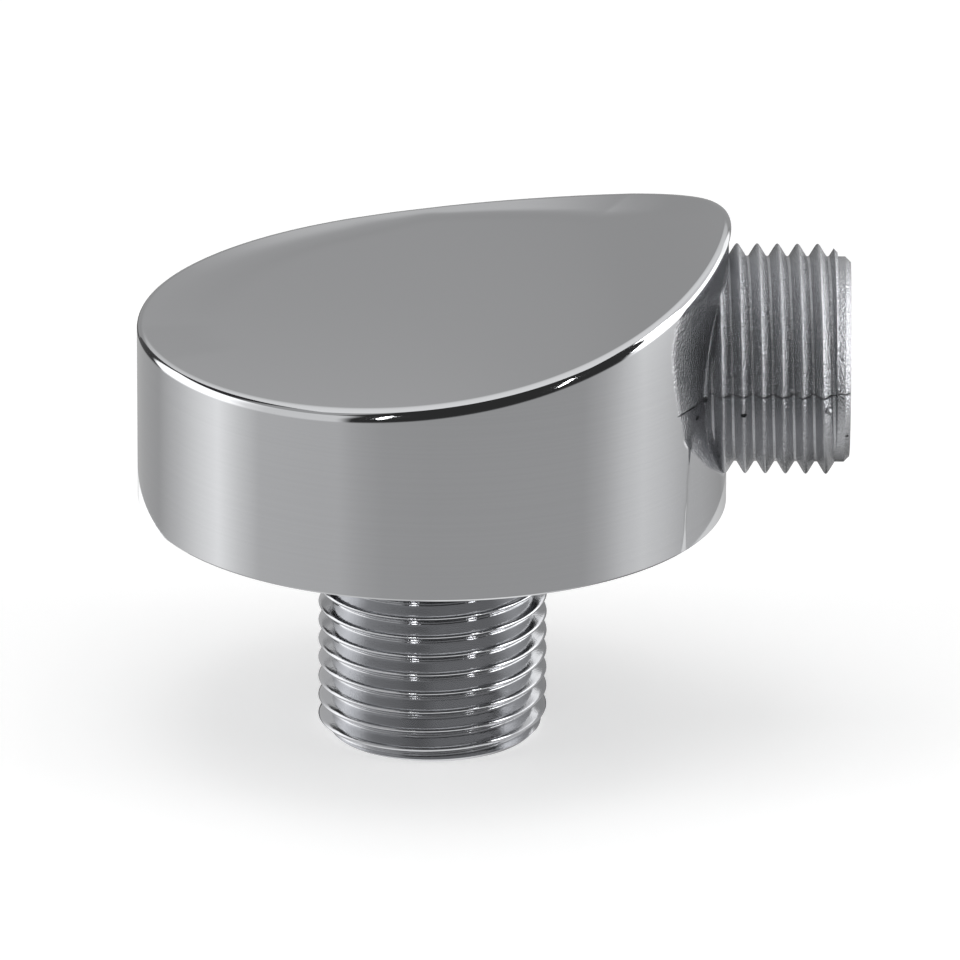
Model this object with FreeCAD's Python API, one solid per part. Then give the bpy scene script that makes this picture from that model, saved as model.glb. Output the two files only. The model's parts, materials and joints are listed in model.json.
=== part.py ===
import FreeCAD, Part
import os

# Wall outlet elbow for a shower hose, one chromed casting, in millimetres.
# +Z points away from the wall, +X along the outlet, and the origin is the
# centre of the wall face on the inlet axis.

V = FreeCAD.Vector
X_AXIS, Z_AXIS = V(1, 0, 0), V(0, 0, 1)
INTO_SOLID = 1.0  # how far a tool or a stub runs past the face it has to cross

# drum
BODY_R = 26.7
TOP_LOW = 16.8     # height of the top opposite the outlet
TOP_HIGH = 27.0    # height where the hollow sweep of the top meets the wall over the outlet
SWEEP_BEND_X = 16.2  # the corner between both ends that the sweep bends round
SWEEP_BEND_Z = 17.2
SWEEP_OVERRUN = 0.05  # share of the sweep's run that the cut goes past the wall
RIM_R = 0.5        # rounding of the top rim
FOOT_BEVEL = 0.2   # the nearly sharp edge at the wall

# stubs for G 1/2 male threads, at the size over the crests
CREST_R = 10.36

# inlet stub, into the wall
INLET_END = -22.25
INLET_CHAMFER = 1.05
INLET_BORE_R = 6.5
INLET_BORE_TOP = 14.4

# outlet stub, for the hose nut
OUTLET_Z = 13.4
OUTLET_END = 37.5
THREAD_END_BEVEL = 0.75
PILOT_R = 9.25
PILOT_LENGTH = 1.2
PILOT_BEVEL = 0.5
OUTLET_BORE_R = 6.0
OUTLET_BORE_START = 14.0

# passage between the two bores, kept under the low part of the top
PASSAGE_R = 4.0
PASSAGE_Z = 11.1
MOUTH_CHAMFER = 0.5

# slightly lowered field around the outlet
FIELD_DEPTH = 0.2
FIELD_R = 15.75
FIELD_Z = 18.5
FIELD_HALF_WIDTH = 13.6
FIELD_STEP_Z = 9.6

# hollow back around the inlet boss
BOSS_R = 13.4
BOSS_STEP = 0.6   # how far the boss face lies inside the wall face
SKIRT = 3.0
HOLLOW_DEPTH = 12.4
OUTLET_WALL = 3.2
HOLLOW_BEVEL = 1.0


def sweep_pole(first, second):
    # pole of the sweep's parabola for a stretch between two shares of its run, 0 low and 1 high
    side = -BODY_R - INTO_SOLID
    low, bend, high = V(-BODY_R, side, TOP_LOW), V(SWEEP_BEND_X, side, SWEEP_BEND_Z), V(BODY_R, side, TOP_HIGH)
    return (low * ((1 - first) * (1 - second))
            + bend * (first * (1 - second) + second * (1 - first))
            + high * (first * second))


def drum():
    # the sweep runs a little past the wall on both sides, so that it cuts it cleanly
    before, past = -SWEEP_OVERRUN, 1 + SWEEP_OVERRUN
    low_end, high_end = sweep_pole(before, before), sweep_pole(past, past)
    sweep = Part.BezierCurve()
    sweep.setPoles([low_end, sweep_pole(before, past), high_end])
    low_foot, high_foot = V(low_end.x, low_end.y, 0), V(high_end.x, high_end.y, 0)
    outline = Part.Wire([
        Part.makeLine(low_foot, high_foot),
        Part.makeLine(high_foot, high_end),
        sweep.toShape(),
        Part.makeLine(low_end, low_foot),
    ])
    side_profile = Part.Face(outline).extrude(V(0, 2 * (BODY_R + INTO_SOLID), 0))
    body = Part.makeCylinder(BODY_R, 2 * TOP_HIGH).common(side_profile)
    rim = [edge for edge in body.Edges if edge.BoundBox.ZMin > TOP_LOW / 2]
    body = body.makeFillet(RIM_R, rim)
    return body.makeChamfer(FOOT_BEVEL, edges_at(body, 0))


def outlet_field():
    # a skin of the drum wall, limited by a round outline with straight legs to the wall
    skin = Part.makeCylinder(BODY_R + INTO_SOLID, 2 * BODY_R, V(0, 0, -INTO_SOLID))
    skin = skin.cut(Part.makeCylinder(BODY_R - FIELD_DEPTH, 4 * BODY_R, V(0, 0, -BODY_R)))
    disc = Part.makeCylinder(FIELD_R, 2 * BODY_R, V(0, 0, FIELD_Z), X_AXIS)
    below = Part.makeBox(2 * BODY_R, 2 * FIELD_R, FIELD_STEP_Z + BODY_R, V(0, -FIELD_R, -BODY_R))
    legs = Part.makeBox(2 * BODY_R, 2 * FIELD_HALF_WIDTH, FIELD_STEP_Z + BODY_R,
                        V(0, -FIELD_HALF_WIDTH, -BODY_R))
    return skin.common(disc.cut(below).fuse(legs))


def back_hollow():
    outer = Part.makeCylinder(BODY_R - SKIRT, HOLLOW_DEPTH + INTO_SOLID, V(0, 0, -INTO_SOLID))
    ring = outer.cut(Part.makeCylinder(BOSS_R, HOLLOW_DEPTH + 2 * INTO_SOLID, V(0, 0, -INTO_SOLID)))
    ring = ring.makeChamfer(HOLLOW_BEVEL, edges_at(ring, HOLLOW_DEPTH))
    tube_r = OUTLET_BORE_R + OUTLET_WALL
    ring = ring.cut(Part.makeCylinder(tube_r, 2 * BODY_R, V(0, 0, OUTLET_Z), X_AXIS))
    return ring.fuse(Part.makeCylinder(BOSS_R, BOSS_STEP + INTO_SOLID, V(0, 0, -INTO_SOLID)))


def edges_at(shape, height):
    return [edge for edge in shape.Edges
            if max(abs(edge.BoundBox.ZMin - height), abs(edge.BoundBox.ZMax - height)) < FOOT_BEVEL]


def inlet_stub():
    stub = Part.makeCylinder(CREST_R, HOLLOW_DEPTH / 2 - INLET_END, V(0, 0, INLET_END))
    return stub.makeChamfer(INLET_CHAMFER, edges_at(stub, INLET_END))


def outlet_stub():
    # made along +Z from inside the drum wall, then laid down along +X
    inside = BODY_R - SKIRT
    thread_end = OUTLET_END - PILOT_LENGTH
    shaft = Part.makeCylinder(CREST_R, thread_end - inside, V(0, 0, inside))
    shaft = shaft.makeChamfer(THREAD_END_BEVEL, edges_at(shaft, thread_end))
    pilot = Part.makeCylinder(PILOT_R, OUTLET_END - inside, V(0, 0, inside))
    shaft = shaft.fuse(pilot.makeChamfer(PILOT_BEVEL, edges_at(pilot, OUTLET_END)))
    shaft.Placement = FreeCAD.Placement(V(0, 0, OUTLET_Z), FreeCAD.Rotation(V(1, 1, 1), 120))
    return shaft


def bore(radius, start, direction, length):
    # blind hole from its mouth, with a small lead-in
    hole = Part.makeCylinder(radius, length, start, direction)
    mouth = Part.makeCone(radius + MOUTH_CHAMFER, radius, MOUTH_CHAMFER, start, direction)
    return hole.fuse(mouth)


def waterway():
    inlet = bore(INLET_BORE_R, V(0, 0, INLET_END), Z_AXIS, INLET_BORE_TOP - INLET_END)
    outlet = bore(OUTLET_BORE_R, V(OUTLET_END, 0, OUTLET_Z), X_AXIS * -1,
                  OUTLET_END - OUTLET_BORE_START)
    passage = Part.makeCylinder(PASSAGE_R, OUTLET_BORE_START + INTO_SOLID, V(0, 0, PASSAGE_Z), X_AXIS)
    return inlet.fuse(outlet).fuse(passage)


def elbow_body():
    body = drum().cut(outlet_field()).cut(back_hollow())
    body = body.fuse(inlet_stub()).fuse(outlet_stub())
    body = body.cut(waterway())
    return body


os.makedirs("parts", exist_ok=True)
elbow = elbow_body()
solids = elbow.Solids
print("solids", len(solids), "valid", elbow.isValid(), "volume", round(elbow.Volume), "mm3")
print("box", elbow.BoundBox, "faces", len(elbow.Faces))
solids[0].exportStep("parts/elbow_body.step")
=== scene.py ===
import json
import math

import bmesh
import bpy
from mathutils import Matrix, Vector


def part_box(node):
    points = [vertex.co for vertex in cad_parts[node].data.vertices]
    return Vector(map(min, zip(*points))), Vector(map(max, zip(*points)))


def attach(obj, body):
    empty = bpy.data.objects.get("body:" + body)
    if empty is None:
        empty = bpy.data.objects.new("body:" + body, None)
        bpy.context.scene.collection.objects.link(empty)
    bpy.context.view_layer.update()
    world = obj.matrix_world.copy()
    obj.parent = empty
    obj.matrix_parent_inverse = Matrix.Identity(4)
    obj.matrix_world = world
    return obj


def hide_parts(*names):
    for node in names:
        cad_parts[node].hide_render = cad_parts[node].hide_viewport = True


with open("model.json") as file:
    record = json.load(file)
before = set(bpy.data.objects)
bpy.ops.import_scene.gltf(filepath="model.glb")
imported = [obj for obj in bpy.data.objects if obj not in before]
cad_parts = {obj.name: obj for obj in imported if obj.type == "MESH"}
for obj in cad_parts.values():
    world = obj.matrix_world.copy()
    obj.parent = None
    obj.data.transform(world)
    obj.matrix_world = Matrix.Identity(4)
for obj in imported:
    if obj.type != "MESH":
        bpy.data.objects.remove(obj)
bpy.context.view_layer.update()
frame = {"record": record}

# A chromed wall outlet elbow: one casting with a round drum, a threaded inlet
# below it and a threaded hose outlet at its side. Lengths are in millimetres
# up to the mesh, which is in metres like the frame.

mm = 0.001
frameLow, frameHigh = (corner / mm for corner in map(Vector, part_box("elbow_body")))
mountNamed = {mount["name"]: mount for mount in frame["record"]["mounts"]}
print("frame loaded")


def meshFrom(bm, name):
    mesh = bpy.data.meshes.new(name)
    bm.to_mesh(mesh)
    bm.free()
    return mesh


def objectFrom(bm, name):
    made = bpy.data.objects.new(name, meshFrom(bm, name))
    bpy.context.scene.collection.objects.link(made)
    return made


def chain(bm, points):
    # a run of edges in the XZ plane through (radius, height) points
    verts = [bm.verts.new((radius, 0, height)) for radius, height in points]
    return verts + [bm.edges.new(pair) for pair in zip(verts, verts[1:])]


def turned(points, steps, phase=0.0):
    # a lathe shape about Z from its half section, both ends on the axis
    bm = bmesh.new()
    geom = chain(bm, points)
    bmesh.ops.rotate(bm, cent=(0, 0, 0), matrix=Matrix.Rotation(phase, 3, "Z"), verts=bm.verts[:])
    bmesh.ops.spin(bm, geom=geom, cent=(0, 0, 0), axis=(0, 0, 1), angle=math.tau,
                   steps=steps, use_merge=True)
    bmesh.ops.remove_doubles(bm, verts=bm.verts[:], dist=1e-4)
    bmesh.ops.recalc_face_normals(bm, faces=bm.faces[:])
    return bm


def combined(target, tool, operation):
    # boolean of two closed solids, kept as the target's own mesh
    cut = target.modifiers.new("cut", "BOOLEAN")
    cut.solver, cut.operation, cut.object = "MANIFOLD", operation, tool
    depsgraph = bpy.context.evaluated_depsgraph_get()
    mesh = bpy.data.meshes.new_from_object(target.evaluated_get(depsgraph))
    target.modifiers.clear()
    target.data = mesh
    bpy.data.objects.remove(tool)
    return target


# drum

drum = {
    "radius": -frameLow.x,
    "lowTop": 16.8,          # height of the top opposite the outlet
    "highTop": 26.98,        # height where the hollow sweep meets the wall over the outlet
    "bendX": 16.2,           # the corner that the sweep bends round
    "bendZ": 17.2,
    "rimAtOutlet": 0.5,      # rounding of the rim, buffed most in front and behind
    "rimAside": 0.91,
    "rimOpposite": 0.57,
    "rimSteps": 10,
    "footBevel": 0.2,
    "skirt": 3.0,
    "hollowDepth": 12.4,
    "hollowBevel": 1.0,
    "bossRadius": 13.4,
    "bossStep": 0.6,
    "tubeRadius": 9.2,       # outlet tube where it crosses the hollow
    "columns": 360,
    "topRows": 34,
    "sideRows": 74,
    "hollowRows": 10,
    "bunching": 0.6,         # columns stand closer together towards the outlet
}

field = {
    "depth": 0.2,
    "radius": 15.75,
    "height": 18.5,
    "footHalfWidth": 14.05,
    "lean": 0.082,           # how much narrower the field gets per millimetre of height
    "stepHeight": 9.6,
    "edge": 0.25,            # width of the step at the legs, and of the slope round the top
    "topEdge": 5.0,
    "rimFade": 0.8,
}

# the top was buffed less at the back: a faint dip and then a raised lip along the rim,
# by degrees round the drum from the outlet
lip = {
    "dipStart": ((-5, 0.5), (4, 1.0), (20, 3.4), (47, 5.6), (70, 4.8), (92, 3.6), (104, 5.2), (124, 6.2),
                 (150, 7.4), (200, 8.6)),
    "start": ((-5, 0.2), (4, 0.3), (20, 2.2), (47, 4.1), (70, 3.0), (92, 1.8), (98, 2.6), (110, 3.6),
              (124, 3.9), (200, 4.0)),
    "ramp": ((-5, 0.3), (20, 0.8), (88, 0.8), (104, 3.0), (200, 3.0)),
    "dip": ((-5, 0.0), (4, 0.0), (30, 0.01), (92, 0.014), (110, 0.018), (150, 0.016),
            (185, 0.012), (205, 0.0)),
    "tilt": ((-5, 0.0), (4, 0.01), (10, 0.04), (20, 0.06), (41, 0.07), (92, 0.055), (120, 0.045),
             (150, 0.015), (185, 0.0)),
    "steps": 12,
}

outletHeight = mountNamed["outlet_bore"]["pos_m"][2] / mm


def between(stops, place):
    for (low, first), (high, last) in zip(stops, stops[1:]):
        if place <= high:
            return first + (last - first) * max(place - low, 0) / (high - low)
    return stops[-1][1]


def sweepShare(x):
    # share of the sweep's run at which its parabola reaches x
    wide, bend = drum["radius"], drum["bendX"]
    return (wide + bend - math.sqrt((wide + bend) ** 2 - 2 * bend * (wide + x))) / (2 * bend)


def sweepHeight(x):
    share = sweepShare(x)
    return (drum["lowTop"] * (1 - share) ** 2 + 2 * drum["bendZ"] * share * (1 - share)
            + drum["highTop"] * share ** 2)


def sweepSlope(x):
    share = sweepShare(x)
    rise = (drum["bendZ"] - drum["lowTop"]) * (1 - share) + (drum["highTop"] - drum["bendZ"]) * share
    return rise / (drum["radius"] + drum["bendX"] - 2 * drum["bendX"] * share)


def smoothStep(value):
    value = min(max(value, 0.0), 1.0)
    return value * value * (3 - 2 * value)


def lipLift(inside, angle):
    # how much higher the top lies at a distance inside the rim, from the slopes of dip and lip
    degrees = math.degrees(angle)
    degrees = degrees + 360 if degrees < -90 else degrees
    if not lip["dip"][0][0] < degrees < lip["dip"][-1][0]:
        return 0.0
    dipStart, start, ramp, dip, tilt = (
        between(lip[part], degrees) for part in ("dipStart", "start", "ramp", "dip", "tilt"))
    run = (dipStart - inside) / lip["steps"]
    lift = 0.0
    if run > 0:
        for step in range(lip["steps"]):
            place = inside + (step + 0.5) * run
            share = (dipStart - place) / (dipStart - start)
            lift += run * tilt * smoothStep((start - place) / ramp)
            lift -= run * dip * math.sin(math.pi * min(share, 1.0))
    return lift


def rimRound(angle):
    along = math.cos(angle)
    ends = (drum["rimAtOutlet"] + drum["rimOpposite"]) / 2 - drum["rimAside"]
    return drum["rimAside"] + (drum["rimAtOutlet"] - drum["rimOpposite"]) / 2 * along + ends * along ** 2


def rimAt(angle):
    # ball that rolls in the corner of top and wall: its centre, its touch on the top and its normal there
    ball = rimRound(angle)
    out = Vector((math.cos(angle), math.sin(angle), 0))
    centre = out * (drum["radius"] - ball)
    x = centre.x
    for _ in range(12):
        slope = sweepSlope(x)
        x = centre.x - ball * slope / math.hypot(1, slope)
    slope = sweepSlope(x)
    normal = Vector((-slope, 0, 1)).normalized()
    touch = Vector((x, centre.y, sweepHeight(x) + lipLift(0, angle)))
    centre.z = (touch - normal * ball).z
    return out, centre, touch, normal


def insideField(y, z):
    # how far a place on the wall lies inside the lowered field round the outlet
    disc = min(field["radius"] - math.hypot(y, z - field["height"]), z - field["stepHeight"])
    legs = min(field["footHalfWidth"] - field["lean"] * z - abs(y), field["stepHeight"] - z)
    return max(disc, legs)


nominalTop = 2 * drum["radius"]  # the drum is first turned with this flat top
nominalRim = drum["rimAside"]


def drumSection():
    radius, ball, bevel = drum["radius"], nominalRim, drum["footBevel"]
    points = []
    for row in range(drum["topRows"] + 1):
        points.append(((radius - ball) * (1 - (1 - row / drum["topRows"]) ** 1.5), nominalTop))
    for step in range(1, drum["rimSteps"] + 1):
        turn = math.pi / 2 * step / drum["rimSteps"]
        points.append((radius - ball + ball * math.sin(turn), nominalTop - ball + ball * math.cos(turn)))
    wallTop = nominalTop - ball
    for row in range(1, drum["sideRows"] + 1):
        points.append((radius, wallTop + (bevel - wallTop) * row / drum["sideRows"]))
    inner, depth, chamfer = radius - drum["skirt"], drum["hollowDepth"], drum["hollowBevel"]
    points += [(radius - bevel, 0), (inner, 0), (inner, (depth - chamfer) / 2), (inner, depth - chamfer)]
    first, last = inner - chamfer, drum["bossRadius"] + chamfer
    for row in range(drum["hollowRows"] + 1):
        points.append((first + (last - first) * row / drum["hollowRows"], depth))
    points += [(drum["bossRadius"], depth - chamfer), (drum["bossRadius"], (depth - chamfer) / 2),
               (drum["bossRadius"], drum["bossStep"]), (0, drum["bossStep"])]
    return points


def placeDrumVertex(vert):
    # moves a vertex of the plain turned drum to the real top, rim, wall, field and hollow
    radius, ball, bevel = drum["radius"], nominalRim, drum["footBevel"]
    reach, angle = math.hypot(vert.co.x, vert.co.y), math.atan2(vert.co.y, vert.co.x)
    height = vert.co.z
    angle -= drum["bunching"] * math.sin(angle)
    if height > nominalTop - ball + 1e-6:
        out, centre, touch, normal = rimAt(angle)
        if reach <= radius - ball + 1e-6:
            share = reach / (radius - ball)
            inside = (1 - share) * math.hypot(touch.x, touch.y)
            vert.co = Vector((touch.x * share, touch.y * share,
                              sweepHeight(touch.x * share) + lipLift(inside, angle)))
        else:
            turn = math.atan2(reach - (radius - ball), height - (nominalTop - ball))
            whole = normal.angle(out)
            part = whole * turn / (math.pi / 2)
            across = (out - normal * normal.dot(out)).normalized()
            vert.co = centre + (normal * math.cos(part) + across * math.sin(part)) * rimRound(angle)
        return
    if reach > radius - 1e-6 and height >= bevel - 1e-6:
        _, centre, _, _ = rimAt(angle)
        share = (height - bevel) / (nominalTop - ball - bevel)
        height = bevel + (centre.z - bevel) * share
    x, y = reach * math.cos(angle), reach * math.sin(angle)
    inner = radius - drum["skirt"]
    if reach < inner + 1e-6 and x > 0 and abs(y) < drum["tubeRadius"] and reach > drum["bossRadius"] - 1e-6:
        tubeBottom = outletHeight - math.sqrt(drum["tubeRadius"] ** 2 - y ** 2)
        height = min(height, max(tubeBottom, drum["bossStep"]))
    vert.co = Vector((x, y, height))


def lowerField(vert):
    reach = math.hypot(vert.co.x, vert.co.y)
    if vert.co.x > 0 and reach > drum["radius"] - 0.5 * nominalRim:
        high = smoothStep((vert.co.z - field["stepHeight"]) / 3)
        edge = field["edge"] + (field["topEdge"] - field["edge"]) * high
        _, centre, _, _ = rimAt(math.atan2(vert.co.y, vert.co.x))
        underRim = smoothStep((centre.z - vert.co.z) / field["rimFade"])
        inside = insideField(vert.co.y, vert.co.z)
        lowered = underRim * field["depth"] * smoothStep(0.5 * (1 - high) + inside / edge)
        reachNow = min(reach, drum["radius"] - lowered)
        vert.co.x *= reachNow / reach
        vert.co.y *= reachNow / reach


def makeDrum():
    bm = turned(drumSection(), drum["columns"])
    for vert in bm.verts:
        placeDrumVertex(vert)
        lowerField(vert)
    bmesh.ops.recalc_face_normals(bm, faces=bm.faces[:])
    return objectFrom(bm, "drum")


# threads

thread = {
    "pitch": 1.814,
    "crest": mountNamed["inlet_thread"]["dims"]["r_mm"],
    "rows": 20,      # points of the profile in one pitch
    "columns": 120,
}

inlet = {
    "end": frameLow.z,
    "chamfer": 1.05,
    "root": 9.2,
    "crestFlat": 0.2,
    "rootFlat": 0.14,
    "crestRound": 0.3,
    "rootRound": 0.14,
    "crestAt": -16.65,  # height of a crest on the outlet side
    "inside": 6.2,      # how far the stub runs into the drum
}

outlet = {
    "end": frameHigh.x,
    "bevel": 0.75,
    "pilotRadius": 9.25,
    "pilotLength": 1.2,
    "pilotBevel": 0.5,
    "root": 9.15,
    "crestFlat": 0.14,
    "rootFlat": 0.1,
    "crestRound": 0.34,
    "rootRound": 0.14,
    "crestAt": 30.52,   # where a crest passes the +Y side
    "inside": 23.7,
}


def threadLevel(offset, shape):
    # 0 at the root and 1 at the crest, by offset along the axis, its corners rounded by averaging
    half = thread["pitch"] / 2
    rounding = shape["crestRound"] if abs(offset) < half / 2 else shape["rootRound"]
    slopeStart, slopeEnd = shape["crestFlat"] / 2, half - shape["rootFlat"] / 2
    total = 0.0
    samples = 9
    for sample in range(samples):
        place = abs(offset + rounding * (sample / (samples - 1) - 0.5))
        place = min(place, 2 * half - place)
        total += min(max((slopeEnd - place) / (slopeEnd - slopeStart), 0.0), 1.0)
    return total / samples


def threadRadius(offset, shape):
    low, high = threadLevel(thread["pitch"] / 2, shape), threadLevel(0, shape)
    share = (threadLevel(offset, shape) - low) / (high - low)
    return shape["root"] + (thread["crest"] - shape["root"]) * share


def threadRod(name, shape, low, high):
    # one run of profile along the axis, spun once round while it climbs a pitch
    pitch, rows = thread["pitch"], thread["rows"]
    first = shape["crestAt"] - pitch * math.ceil((shape["crestAt"] - low) / pitch + 1.5)
    teeth = math.ceil((high - first) / pitch + 1.5)
    points = []
    for row in range(teeth * rows + 1):
        offset = (row % rows) / rows * pitch
        offset = offset if offset <= pitch / 2 else offset - pitch
        points.append((threadRadius(offset, shape), first + row * pitch / rows))
    bm = bmesh.new()
    geom = chain(bm, points)
    steps = thread["columns"]
    bmesh.ops.spin(bm, geom=geom, cent=(0, 0, 0), axis=(0, 0, 1), dvec=(0, 0, pitch / steps),
                   angle=math.tau, steps=steps)
    bmesh.ops.remove_doubles(bm, verts=bm.verts[:], dist=1e-3)
    for height, side in ((low, -1), (high, 1)):
        found = bmesh.ops.bisect_plane(bm, geom=bm.verts[:] + bm.edges[:] + bm.faces[:], dist=1e-5,
                                       plane_co=(0, 0, height), plane_no=(0, 0, side), clear_outer=True)
        loop = [item for item in found["geom_cut"] if isinstance(item, bmesh.types.BMEdge)]
        bmesh.ops.contextual_create(bm, geom=loop)
    bmesh.ops.recalc_face_normals(bm, faces=bm.faces[:])
    return objectFrom(bm, name)


def makeInletStub():
    rod = threadRod("inletStub", inlet, inlet["end"] - 1, inlet["inside"])
    wide = thread["crest"] + 1
    tip = thread["crest"] - inlet["chamfer"]
    envelope = turned([(0, inlet["end"]), (tip, inlet["end"]), (wide, inlet["end"] + wide - tip),
                       (wide, inlet["inside"] - 0.1), (0, inlet["inside"] - 0.1)], thread["columns"])
    return combined(rod, objectFrom(envelope, "envelope"), "INTERSECT")


def makeOutletStub():
    threadEnd = outlet["end"] - outlet["pilotLength"]
    rod = threadRod("outletStub", outlet, outlet["inside"] - 0.5, threadEnd + 0.5)
    wide = thread["crest"] + 1
    nose = thread["crest"] - outlet["bevel"]
    envelope = turned([(0, outlet["inside"]), (wide, outlet["inside"]), (wide, threadEnd - wide + nose),
                       (nose, threadEnd), (0, threadEnd)], thread["columns"])
    rod = combined(rod, objectFrom(envelope, "envelope"), "INTERSECT")
    pilotRadius, bevel = outlet["pilotRadius"], outlet["pilotBevel"]
    pilot = turned([(0, outlet["inside"] + 1), (pilotRadius, outlet["inside"] + 1),
                    (pilotRadius, outlet["end"] - bevel), (pilotRadius - bevel, outlet["end"]),
                    (0, outlet["end"])], thread["columns"])
    rod = combined(rod, objectFrom(pilot, "pilot"), "UNION")
    layDown = Matrix.Translation((0, 0, outletHeight)) @ Matrix.Rotation(math.radians(120), 4, (1, 1, 1))
    rod.data.transform(layDown)
    return rod


# waterway

water = {
    "inletRadius": mountNamed["inlet_bore"]["dims"]["r_mm"],
    "inletTop": 14.4,
    "outletRadius": mountNamed["outlet_bore"]["dims"]["r_mm"],
    "outletStart": 14.0,
    "passageRadius": 4.0,
    "passageHeight": 11.1,
    "mouth": 0.5,
    "columns": 96,
}


def makeWaterway():
    mouth, beyond = water["mouth"], 1.0
    radius = water["inletRadius"]
    upright = turned([(0, inlet["end"] - beyond), (radius + mouth, inlet["end"] - beyond),
                      (radius + mouth, inlet["end"]), (radius, inlet["end"] + mouth),
                      (radius, water["inletTop"]), (0, water["inletTop"])], water["columns"])
    radius = water["outletRadius"]
    level = turned([(0, water["outletStart"]), (radius, water["outletStart"]),
                    (radius, outlet["end"] - mouth), (radius + mouth, outlet["end"]),
                    (radius + mouth, outlet["end"] + beyond), (0, outlet["end"] + beyond)],
                   water["columns"])
    radius = water["passageRadius"]
    passage = turned([(0, 0), (radius, 0), (radius, water["outletStart"] + beyond),
                      (0, water["outletStart"] + beyond)], water["columns"])
    turn = Matrix.Rotation(math.radians(120), 4, (1, 1, 1))
    waterway = objectFrom(upright, "waterway")
    for bm, height in ((level, outletHeight), (passage, water["passageHeight"])):
        bmesh.ops.transform(bm, matrix=Matrix.Translation((0, 0, height)) @ turn, verts=bm.verts[:])
        waterway = combined(waterway, objectFrom(bm, "branch"), "UNION")
    return waterway


# the one casting

halo = {
    # reach of the unbuffed ring round the outlet, by degrees above its middle
    "reach": ((-90, 10.5), (-56, 10.6), (-44, 11.1), (-34, 11.85), (-23, 12.5), (-19, 13.3), (-16, 13.9),
              (-8, 14.3), (0, 14.8), (7, 15.3), (15, 16.1), (22, 17.0), (28, 17.4), (34, 17.4), (90, 17.0)),
    "edge": 0.6,
    "nearX": 15,          # nothing nearer to the inlet's axis than this belongs to it
    "wallDepth": 1.0,
    "rootDepth": 0.35,    # the outlet's root is bare this far into the wall
    "rootGap": 0.2,       # and this far beyond the crests
    "rimFade": 0.5,
    "inlet": 0.7,         # the inlet's skin is smoother than the outlet's
    "inletGrain": 0.08,
    "haloGrain": 0.35,
    "underRim": 0.3,
    # painted shade: how much its raw plate is darkened or lightened, by the same degrees
    "haloShade": ((-90, 1.3), (-30, 1.2), (-12, 0.75), (12, 0.42), (25, 0.42), (45, 0.55), (90, 0.8)),
}


def castSkin(co):
    # 1 where the casting was left as it came from the die and only plated, 0 where it was buffed
    x, y, z = co
    if z < -0.05:
        return halo["inlet"]
    away = math.hypot(y, z - outletHeight)
    wallX = math.sqrt(max(drum["radius"] ** 2 - y ** 2, 0))
    if x < halo["nearX"] or math.hypot(x, y) < drum["radius"] - halo["wallDepth"]:
        return 0.0
    if x > wallX - halo["rootDepth"] and away < thread["crest"] + halo["rootGap"]:
        return 1.0
    reach = between(halo["reach"], math.degrees(math.atan2(z - outletHeight, abs(y))))
    _, centre, _, _ = rimAt(math.atan2(y, x))
    inReach = smoothStep((reach - away) / halo["edge"] + 0.5)
    return inReach * smoothStep((centre.z - z - halo["underRim"]) / halo["rimFade"])


def grainAt(co, skin):
    # how strong the grain of the casting is: full on the outlet's thread, weak elsewhere
    if co.z < -0.05:
        return halo["inletGrain"]
    away = math.hypot(co.y, co.z - outletHeight)
    onThread = smoothStep((thread["crest"] - away) / 0.5 + 1)
    return skin * (halo["haloGrain"] + (1 - halo["haloGrain"]) * onThread)


def haloShadeAt(co):
    # painted shade on the raw plate: 1 on the threads and the inlet, and round the outlet darkest a little
    # above its middle and lighter below it
    away = math.hypot(co.y, co.z - outletHeight)
    if co.z < -0.05 or away < thread["crest"] + 0.1:
        return 1.0
    return between(halo["haloShade"], math.degrees(math.atan2(co.z - outletHeight, abs(co.y))))


# marks of the casting on the camera's side of the outlet, as place along it, height, width and tallness
marks = {
    "pits": ((23.7, 12.1, 0.5, 0.4), (24.5, 13.2, 0.9, 0.5), (27.9, 11.7, 0.6, 0.5),
             (37.2, 8.95, 0.35, 0.35)),
    "lumps": ((35.5, 12.15, 0.6, 0.7),),
    "depth": 1.1,
    "meanRadius": 10.0,
}


def markShells(name, places):
    bm = bmesh.new()
    for x, z, wide, tall in places:
        verts = bmesh.ops.create_icosphere(bm, subdivisions=3, radius=0.5)["verts"]
        radius = outlet["pilotRadius"] if x > outlet["end"] - outlet["pilotLength"] else marks["meanRadius"]
        wallRadius = drum["radius"] - field["depth"]
        y = -math.sqrt(max(radius ** 2 - (z - outletHeight) ** 2, wallRadius ** 2 - x ** 2))
        bmesh.ops.scale(bm, vec=(wide, marks["depth"], tall), verts=verts)
        bmesh.ops.translate(bm, vec=(x, y, z), verts=verts)
    return objectFrom(bm, name)


def onWall(co):
    # 1 on the buffed wall, where the fine turning lines run
    wallDepth = 0.25
    reach = math.hypot(co.x, co.y)
    return 1.0 if co.z > 0 and reach > drum["radius"] - wallDepth and co.x < drum["radius"] else 0.0


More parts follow.
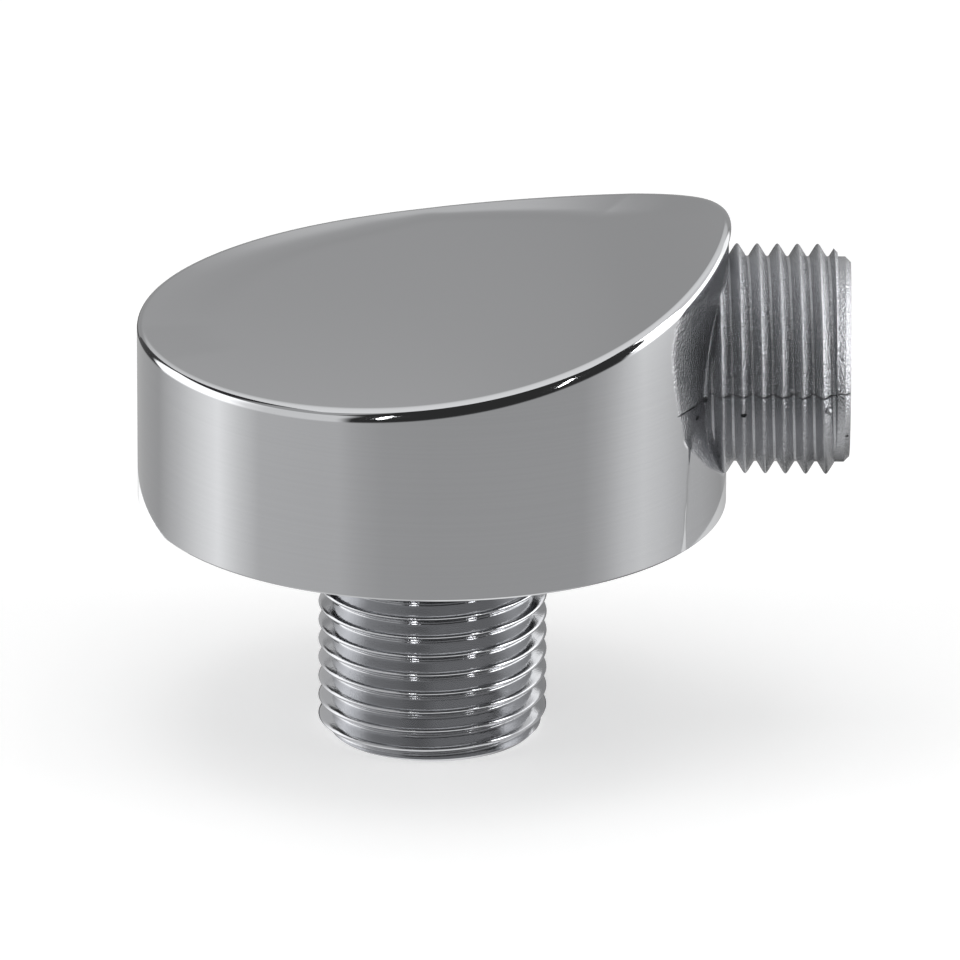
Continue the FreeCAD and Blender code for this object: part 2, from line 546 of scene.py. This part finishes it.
def makeElbow():
    elbow = makeDrum()
    print("drum made")
    elbow = combined(elbow, makeInletStub(), "UNION")
    elbow = combined(elbow, makeOutletStub(), "UNION")
    print("threads made")
    elbow = combined(elbow, makeWaterway(), "DIFFERENCE")
    print("waterway made")
    elbow = combined(elbow, markShells("lumps", marks["lumps"]), "UNION")
    elbow = combined(elbow, markShells("pits", marks["pits"]), "DIFFERENCE")
    print("casting marks made")
    mesh = elbow.data
    skin = mesh.attributes.new("castSkin", "FLOAT", "POINT")
    grain = mesh.attributes.new("castGrain", "FLOAT", "POINT")
    # this attribute holds painted shade for the raw plate round the outlet
    haloShade = mesh.attributes.new("paintedHaloShade", "FLOAT", "POINT")
    wall = mesh.attributes.new("turningLines", "FLOAT", "POINT")
    for vert in mesh.vertices:
        skin.data[vert.index].value = castSkin(vert.co)
        grain.data[vert.index].value = grainAt(vert.co, castSkin(vert.co))
        haloShade.data[vert.index].value = haloShadeAt(vert.co)
        wall.data[vert.index].value = onWall(vert.co)
    mesh.transform(Matrix.Scale(mm, 4))
    mesh.shade_smooth()
    mesh.set_sharp_from_angle(angle=math.radians(38))
    elbow.name = mesh.name = "elbow"
    print("elbow has", len(mesh.polygons), "faces,", len(mesh.loops) - 2 * len(mesh.polygons), "triangles")
    return elbow


# finish

def linearColour(hexText):
    # sRGB hex to linear RGBA
    values = [int(hexText[place:place + 2], 16) / 255 for place in (1, 3, 5)]
    return tuple(v / 12.92 if v <= 0.04045 else ((v + 0.055) / 1.055) ** 2.4 for v in values) + (1.0,)


def addNode(tree, kind, settings=None, links=None):
    # settings: attribute or input name to value; links: input name to an output socket
    node = tree.nodes.new(kind)
    for name, value in (settings or {}).items():
        if isinstance(name, str) and name in node.bl_rna.properties:
            setattr(node, name, value)
        else:
            node.inputs[name].default_value = value
    for name, socket in (links or {}).items():
        tree.links.new(socket, node.inputs[name])
    return node


def newMaterial(name):
    material = bpy.data.materials.new(name)
    material.use_nodes = True
    material.node_tree.nodes.clear()
    return material, material.node_tree


chrome = {
    "plate": "#C9CACC",
    "castPlate": "#B4B5B8",
    "buffedRoughness": 0.06,
    "castRoughness": 0.14,
    "linesPerMm": 5.0,                # fine turning lines round the wall
    "lineTone": 0.014,
    "grainPerMm": (5.2, 5.2, 4.2),    # grain of the unbuffed casting, drawn out upwards
    "grainHeight": 0.24,
    "seamWidth": 0.1,                 # parting line along both sides of the outlet
    "seamWander": 0.5,
    "seamShade": 0.25,
    "seamDepth": 0.9,                 # against the grain's height
    "underSeam": 0.45,                # the grain is weaker under the seam
}


def chromePlate():
    # bright chrome plate: buffed and faintly lined on the drum, so that it mirrors the room, and over
    # the raw skin of the die casting on threads and halo, where it glints dully
    material, tree = newMaterial("bright_chrome_plate")
    place = addNode(tree, "ShaderNodeTexCoord").outputs["Object"]
    height = addNode(tree, "ShaderNodeSeparateXYZ", links={"Vector": place}).outputs["Z"]
    part = {"height": height}
    for attribute in ("castSkin", "castGrain", "paintedHaloShade", "turningLines"):
        part[attribute] = addNode(tree, "ShaderNodeAttribute", {"attribute_name": attribute}).outputs["Fac"]
    for pattern, perMm, detail in (
            ("lines", (0.01, 0.01, chrome["linesPerMm"]), 2.0),
            ("wander", (1.1, 0.0, 0.0), 2.0),
            ("grain", chrome["grainPerMm"], 3.0)):
        scaled = addNode(tree, "ShaderNodeMapping", {"Scale": tuple(count / mm for count in perMm)},
                         {"Vector": place})
        part[pattern] = addNode(tree, "ShaderNodeTexNoise", {"Scale": 1.0, "Detail": detail},
                                {"Vector": scaled.outputs[0]}).outputs["Fac"]

    # each step gives its name, what it does and the numbers or earlier parts that it takes
    for name, operation, *values in (
            ("lineShade", "SUBTRACT", "lines", 0.5),
            ("lineStrength", "MULTIPLY", "turningLines", 4 * chrome["lineTone"]),
            ("buffedShade", "MULTIPLY_ADD", "lineShade", "lineStrength", 1.0),
            # the parting line wanders about the middle of the outlet
            ("wanderAbout", "SUBTRACT", "wander", 0.5),
            ("seamAt", "MULTIPLY_ADD", "wanderAbout", chrome["seamWander"] * mm, outletHeight * mm),
            ("offSeam", "SUBTRACT", "height", "seamAt"),
            ("above", "DIVIDE", "offSeam", chrome["seamWidth"] * mm),
            ("apart", "ABSOLUTE", "above"),
            ("beside", "MINIMUM", "apart", 1.0),
            ("within", "SUBTRACT", 1.0, "beside"),
            ("seam", "MULTIPLY", "within", "castSkin"),
            ("seamShade", "MULTIPLY_ADD", "seam", chrome["seamShade"] - 1.0, 1.0),
            # the raw plate is darkened along the seam and by the painted shade round the outlet
            ("castShade", "MULTIPLY", "seamShade", "paintedHaloShade"),
            # the grain is weaker under the seam
            ("overSeam", "MAXIMUM", "above", 0.0),
            ("upperHalf", "MINIMUM", "overSeam", 1.0),
            ("grainShare", "MULTIPLY_ADD", "upperHalf", 1.0 - chrome["underSeam"], chrome["underSeam"]),
            ("grainAbout", "SUBTRACT", "grain", 0.5),
            ("grainHere", "MULTIPLY", "grainAbout", "castGrain"),
            ("grainLift", "MULTIPLY", "grainHere", "grainShare"),
            ("relief", "MULTIPLY_ADD", "seam", -chrome["seamDepth"], "grainLift"),
            ("roughness", "MULTIPLY_ADD", "castSkin", chrome["castRoughness"] - chrome["buffedRoughness"],
             chrome["buffedRoughness"])):
        numbers = {slot: value for slot, value in enumerate(values) if not isinstance(value, str)}
        sockets = {slot: part[value] for slot, value in enumerate(values) if isinstance(value, str)}
        step = addNode(tree, "ShaderNodeMath", {"operation": operation, **numbers}, sockets)
        part[name] = step.outputs["Value"]

    normal = addNode(tree, "ShaderNodeBump", {"Strength": 1.0, "Distance": chrome["grainHeight"] * mm},
                     {"Height": part["relief"]})
    buffed, raw = (
        addNode(tree, "ShaderNodeVectorMath", {"operation": "SCALE", 0: linearColour(chrome[plate])[:3]},
                {"Scale": part[shade]}).outputs["Vector"]
        for plate, shade in (("plate", "buffedShade"), ("castPlate", "castShade")))
    colour = addNode(tree, "ShaderNodeMix", {"data_type": "RGBA"}, {0: part["castSkin"], 6: buffed, 7: raw})
    shader = addNode(tree, "ShaderNodeBsdfPrincipled", {"Metallic": 1.0},
                     {"Base Color": colour.outputs[2], "Roughness": part["roughness"],
                      "Normal": normal.outputs["Normal"]})
    addNode(tree, "ShaderNodeOutputMaterial", links={"Surface": shader.outputs["BSDF"]})
    return material


elbow = makeElbow()
elbow.data.materials.clear()
elbow.data.materials.append(chromePlate())
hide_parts("elbow_body")
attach(elbow, "root")
print("elbow finished")


# studio

studio = {
    "floor": "#F4F4F4",
    "fill": 0.5,           # the world, for the floor
    "haze": 0.42,          # how much of the floor's white the camera sees whatever the light
    "topLamp": 1.1,
    "sideLamp": 1.1,
    "surroundRadius": 2.0,
}

# what the polished wall mirrors below the level of the table's edge, by bearing in degrees:
# 0 is the camera's side, + is the outlet's side
lowLevels = ((-180, 0.45), (-160, 0.48), (-133, 0.46), (-116, 0.71), (-103, 0.97), (-91, 1.18), (-80, 0.86),
             (-70, 0.64), (-44, 0.61), (-36, 0.61), (-27, 0.53), (-18, 0.48), (0, 0.465), (50, 0.47),
             (61, 0.475), (70, 0.58), (80, 0.78), (90, 0.89), (101, 0.8), (115, 0.63), (131, 0.56),
             (156, 0.38), (180, 0.45))

# what the rounded rim mirrors above that: soft boxes at both sides and a strip at the left
highLevels = ((-180, 0.12), (-152, 0.12), (-131, 0.05), (-127, 2.0), (-86, 2.0), (-75, 1.1), (-66, 0.9),
              (-36, 0.9), (-31, 0.04), (77, 0.04), (81, 0.9), (88, 2.6), (128, 2.6), (134, 1.5), (149, 1.5),
              (153, 0.35), (180, 0.3))
steepLevel = 1.1

# and above the soft boxes: a dark room, pale only at the right
topLevels = ((-180, 0.1), (-130, 0.04), (-98, 0.04), (-84, 0.45), (-45, 0.5), (-38, 0.04), (77, 0.04),
             (90, 0.9), (150, 0.9), (165, 0.3), (180, 0.1))

# where the table close by turns into the far one, that into the cards, and where those end at the
# top, in degrees above the horizon
turns = {"steepToLow": (-65, -45), "lowToHigh": (-19.5, -17.5), "highToDark": (30, 33)}

# the shade that the drum and the outlet throw on the table round the inlet, as the share of light left
tableShade = {
    "inner": 0.011,
    "outer": 0.062,
    "over": 0.0004,   # above the table
    "levels": ((-180, 0.38), (-150, 0.55), (-107, 0.9), (-94, 1.0), (-82, 0.92), (-71, 0.76), (-51, 0.82),
               (-25, 0.7), (-8, 0.68), (4, 0.98), (27, 1.0), (45, 1.0), (64, 0.78), (78, 0.6),
               (97, 0.34), (111, 0.25), (150, 0.25), (180, 0.38)),
}

# what the inlet's thread mirrors under the drum, level and a little lower
underRing = {
    "radius": 0.035,
    "top": -0.0052,
    "over": 0.0003,
    "levels": ((-180, 0.4), (-125, 0.7), (-108, 1.6), (-95, 2.1), (-82, 1.6), (-68, 0.75), (-40, 0.55),
               (0, 0.42), (62, 0.42), (76, 0.75), (88, 0.95), (102, 0.8), (130, 0.4), (180, 0.35)),
}

# a white cove from the table behind the object to above it, by degrees above the horizon
cove = {
    "radius": 0.6,
    "sides": (-0.38, 0.28),
    "levels": ((-5, 0.4), (16, 0.405), (18.3, 0.41), (20.5, 0.445), (21.2, 0.45), (22.5, 0.5), (25, 0.68),
               (32, 0.8), (50, 1.0), (107, 1.1)),
}

# narrow lamps that show as sparks in the rim, as bearing, degrees above the horizon, width, height
# and brightness
sparks = {"leftSpark": (-21, 15, 0.09, 1.05, 14.0), "rightSpark": (44.5, 15, 0.09, 1.1, 14.0)}

# a small light card at the outlet's side, which draws white lines along the crests and the end bevel
crestCard = {"aside": 0.08, "front": -0.033, "back": -0.008, "low": 0.008, "high": 0.11, "strength": 6.0}


def stageObject(bm, name, material):
    made = objectFrom(bm, name)
    made.data.materials.append(material)
    return made


def onlyMirrored(card):
    # a studio card that shows in the metal and nowhere else
    card.visible_camera = card.visible_diffuse = card.visible_shadow = card.visible_transmission = False
    return card


def floorMaterial():
    # matt white board, with a little of its white added for the camera so that its shadow stays faint
    material, tree = newMaterial("matt_white_board")
    camera = addNode(tree, "ShaderNodeLightPath").outputs["Is Camera Ray"]
    glow = addNode(tree, "ShaderNodeMath", {"operation": "MULTIPLY", 1: studio["haze"]}, {0: camera})
    shader = addNode(tree, "ShaderNodeBsdfPrincipled",
                     {"Base Color": linearColour(studio["floor"]), "Roughness": 0.9,
                      "Specular IOR Level": 0.1, "Emission Color": (1, 1, 1, 1)},
                     {"Emission Strength": glow.outputs["Value"]})
    addNode(tree, "ShaderNodeOutputMaterial", links={"Surface": shader.outputs["BSDF"]})
    return material


def angleRound(tree, place, across, ahead):
    # angle of a place round the origin, in degrees, from one direction towards another
    parts = [addNode(tree, "ShaderNodeVectorMath", {"operation": "DOT_PRODUCT", 1: axis}, {0: place})
             for axis in (across, ahead)]
    turn = addNode(tree, "ShaderNodeMath", {"operation": "ARCTAN2"},
                   {slot: part.outputs["Value"] for slot, part in enumerate(parts)})
    degrees = addNode(tree, "ShaderNodeMath", {"operation": "DEGREES"}, {0: turn.outputs["Value"]})
    return degrees.outputs["Value"]


def levelsAlong(tree, angle, levels):
    # grey ramp over an angle; gives the level as a number
    low, high = levels[0][0], levels[-1][0]
    top = max(level for _, level in levels)
    share = addNode(tree, "ShaderNodeMapRange", {"From Min": low, "From Max": high}, {"Value": angle})
    ramp = addNode(tree, "ShaderNodeValToRGB", links={"Fac": share.outputs["Result"]})
    stops = ramp.color_ramp.elements
    stops.remove(stops[1])
    stops[0].color = (levels[0][1] / top,) * 3 + (1.0,)
    for degrees, level in levels[1:]:
        stops.new((degrees - low) / (high - low)).color = (level / top,) * 3 + (1.0,)
    level = addNode(tree, "ShaderNodeMath", {"operation": "MULTIPLY", 1: top}, {0: ramp.outputs["Color"]})
    return level.outputs["Value"]


def glowByAngle(name, across, ahead, levels):
    material, tree = newMaterial(name)
    place = addNode(tree, "ShaderNodeTexCoord").outputs["Object"]
    level = levelsAlong(tree, angleRound(tree, place, across, ahead), levels)
    glow = addNode(tree, "ShaderNodeEmission", links={"Strength": level})
    addNode(tree, "ShaderNodeOutputMaterial", links={"Surface": glow.outputs["Emission"]})
    return material


def surroundMaterial():
    # the whole room as the metal mirrors it: table and boards low down, soft boxes higher, dark above
    material, tree = newMaterial("studio_surround")
    place = addNode(tree, "ShaderNodeTexCoord").outputs["Object"]
    bearing = angleRound(tree, place, (1, 0, 0), (0, -1, 0))
    away = addNode(tree, "ShaderNodeVectorMath", {"operation": "NORMALIZE"}, {0: place}).outputs["Vector"]
    height = addNode(tree, "ShaderNodeSeparateXYZ", links={"Vector": away}).outputs["Z"]
    low, high, top = (levelsAlong(tree, bearing, levels) for levels in (lowLevels, highLevels, topLevels))
    toLow, toHigh, toDark = (
        addNode(tree, "ShaderNodeMapRange", {"From Min": math.sin(math.radians(first)),
                                             "From Max": math.sin(math.radians(last))},
                {"Value": height}).outputs[0]
        for first, last in turns.values())
    table = addNode(tree, "ShaderNodeMix", {"data_type": "FLOAT", 2: steepLevel}, {0: toLow, 3: low})
    lit = addNode(tree, "ShaderNodeMix", {"data_type": "FLOAT"}, {0: toHigh, 2: table.outputs[0], 3: high})
    room = addNode(tree, "ShaderNodeMix", {"data_type": "FLOAT"}, {0: toDark, 2: lit.outputs[0], 3: top})
    glow = addNode(tree, "ShaderNodeEmission", links={"Strength": room.outputs[0]})
    addNode(tree, "ShaderNodeOutputMaterial", links={"Surface": glow.outputs["Emission"]})
    return material


def glowMaterial(name, strength):
    material, tree = newMaterial(name)
    glow = addNode(tree, "ShaderNodeEmission", {"Strength": strength})
    addNode(tree, "ShaderNodeOutputMaterial", links={"Surface": glow.outputs["Emission"]})
    return material


def makeSurround():
    bm = bmesh.new()
    bmesh.ops.create_uvsphere(bm, u_segments=64, v_segments=32, radius=studio["surroundRadius"])
    onlyMirrored(stageObject(bm, "surround", surroundMaterial()))


def makeTableShade():
    bm = bmesh.new()
    height = frameLow.z * mm + tableShade["over"]
    bmesh.ops.spin(bm, geom=chain(bm, [(tableShade[end], height) for end in ("inner", "outer")]),
                   cent=(0, 0, 0), axis=(0, 0, 1), angle=math.tau, steps=96, use_merge=True)
    material, tree = newMaterial("table_shade")
    place = addNode(tree, "ShaderNodeTexCoord").outputs["Object"]
    left = levelsAlong(tree, angleRound(tree, place, (1, 0, 0), (0, -1, 0)), tableShade["levels"])
    clear = addNode(tree, "ShaderNodeBsdfTransparent", links={"Color": left})
    addNode(tree, "ShaderNodeOutputMaterial", links={"Surface": clear.outputs["BSDF"]})
    onlyMirrored(stageObject(bm, "tableShade", material))


def makeCrestCard():
    bm = bmesh.new()
    ends = [bm.verts.new((crestCard["aside"], crestCard[end], crestCard["low"]))
            for end in ("front", "back")]
    made = bmesh.ops.extrude_edge_only(bm, edges=[bm.edges.new(ends)])["geom"]
    raised = [item for item in made if isinstance(item, bmesh.types.BMVert)]
    bmesh.ops.translate(bm, vec=(0, 0, crestCard["high"] - crestCard["low"]), verts=raised)
    onlyMirrored(stageObject(bm, "crestCard", glowMaterial("crest_card", crestCard["strength"])))


def makeUnderRing():
    bm = bmesh.new()
    heights = (frameLow.z * mm + underRing["over"], underRing["top"])
    bmesh.ops.spin(bm, geom=chain(bm, [(underRing["radius"], height) for height in heights]),
                   cent=(0, 0, 0), axis=(0, 0, 1), angle=math.tau, steps=96, use_merge=True)
    material = glowByAngle("pale_ring", (1, 0, 0), (0, -1, 0), underRing["levels"])
    onlyMirrored(stageObject(bm, "underRing", material))


def makeTable():
    bm = bmesh.new()
    bmesh.ops.create_grid(bm, x_segments=1, y_segments=1, size=3)
    bmesh.ops.translate(bm, vec=(0, 0, frameLow.z * mm), verts=bm.verts[:])
    table = stageObject(bm, "table", floorMaterial())
    table.visible_glossy = False


def makeCove():
    bm = bmesh.new()
    low, high = (math.radians(cove["levels"][place][0]) for place in (0, -1))
    ends = [bm.verts.new((side, cove["radius"] * math.cos(low), cove["radius"] * math.sin(low)))
            for side in cove["sides"]]
    bmesh.ops.spin(bm, geom=ends + [bm.edges.new(ends)], cent=(0, 0, 0), axis=(1, 0, 0), angle=high - low,
                   steps=48)
    onlyMirrored(stageObject(bm, "cove", glowByAngle("white_cove", (0, 0, 1), (0, 1, 0), cove["levels"])))


def makeSpark(name, bearing, rise, width, height, strength):
    bm = bmesh.new()
    bmesh.ops.create_circle(bm, cap_ends=True, segments=32, radius=0.5)
    bmesh.ops.scale(bm, vec=(width, height, 1), verts=bm.verts[:])
    towards = (Matrix.Rotation(math.radians(bearing), 4, "Z")
               @ Matrix.Rotation(math.radians(90 - rise), 4, "X")
               @ Matrix.Translation((0, 0, 0.9 * studio["surroundRadius"])))
    bmesh.ops.transform(bm, matrix=towards, verts=bm.verts[:])
    onlyMirrored(stageObject(bm, name, glowMaterial(name, strength)))


def makeLamps():
    for name, power, size, centre in (
            ("topLamp", studio["topLamp"], 0.5, (0.0, -0.05, 0.75)),
            ("leftLamp", studio["sideLamp"], 0.4, (-0.7, -0.2, 0.45)),
            ("rightLamp", studio["sideLamp"], 0.4, (0.7, -0.2, 0.45))):
        lamp = bpy.data.lights.new(name, "AREA")
        lamp.shape, lamp.size, lamp.energy = "SQUARE", size, power
        holder = bpy.data.objects.new(name, lamp)
        holder.location = centre
        holder.rotation_euler = Vector(centre).to_track_quat("Z", "Y").to_euler()
        holder.visible_glossy = False
        bpy.context.scene.collection.objects.link(holder)


def makeWorld():
    world = bpy.data.worlds.new("studio")
    bpy.context.scene.world = world
    world.use_nodes = True
    tree = world.node_tree
    tree.nodes.clear()
    sky = addNode(tree, "ShaderNodeBackground", {"Strength": studio["fill"]})
    addNode(tree, "ShaderNodeOutputWorld", links={"Surface": sky.outputs["Background"]})


makeTable()
makeTableShade()
makeUnderRing()
makeCrestCard()
makeSurround()
makeCove()
for name, sizes in sparks.items():
    makeSpark(name, *sizes)
makeLamps()
makeWorld()
print("studio made")

photoCamera = {
    "bearing": 0.606,      # degrees, from straight in front
    "elevation": 20.861,
    "roll": 0.261,
    "distance": 1.2,
    "lens": 497.7,
    "aside": 4.252,        # how far the picture's centre lies right of and above the wall face's centre
    "above": 1.321,
}


def makeCamera():
    bearing, elevation = math.radians(photoCamera["bearing"]), math.radians(photoCamera["elevation"])
    back = Vector((math.sin(bearing) * math.cos(elevation), -math.cos(bearing) * math.cos(elevation),
                   math.sin(elevation)))
    level = Vector((math.cos(bearing), math.sin(bearing), 0))
    upright = back.cross(level)
    roll = math.radians(photoCamera["roll"])
    right = level * math.cos(roll) + upright * math.sin(roll)
    up = upright * math.cos(roll) - level * math.sin(roll)
    data = bpy.data.cameras.new("camera")
    data.lens, data.sensor_width = photoCamera["lens"], 36.0
    camera = bpy.data.objects.new("camera", data)
    place = (back * photoCamera["distance"] + right * photoCamera["aside"] * mm
             + up * photoCamera["above"] * mm)
    camera.matrix_world = Matrix.Translation(place) @ Matrix((right, up, back)).transposed().to_4x4()
    bpy.context.scene.collection.objects.link(camera)
    bpy.context.scene.camera = camera


makeCamera()
bpy.context.scene.view_settings.view_transform = "Standard"
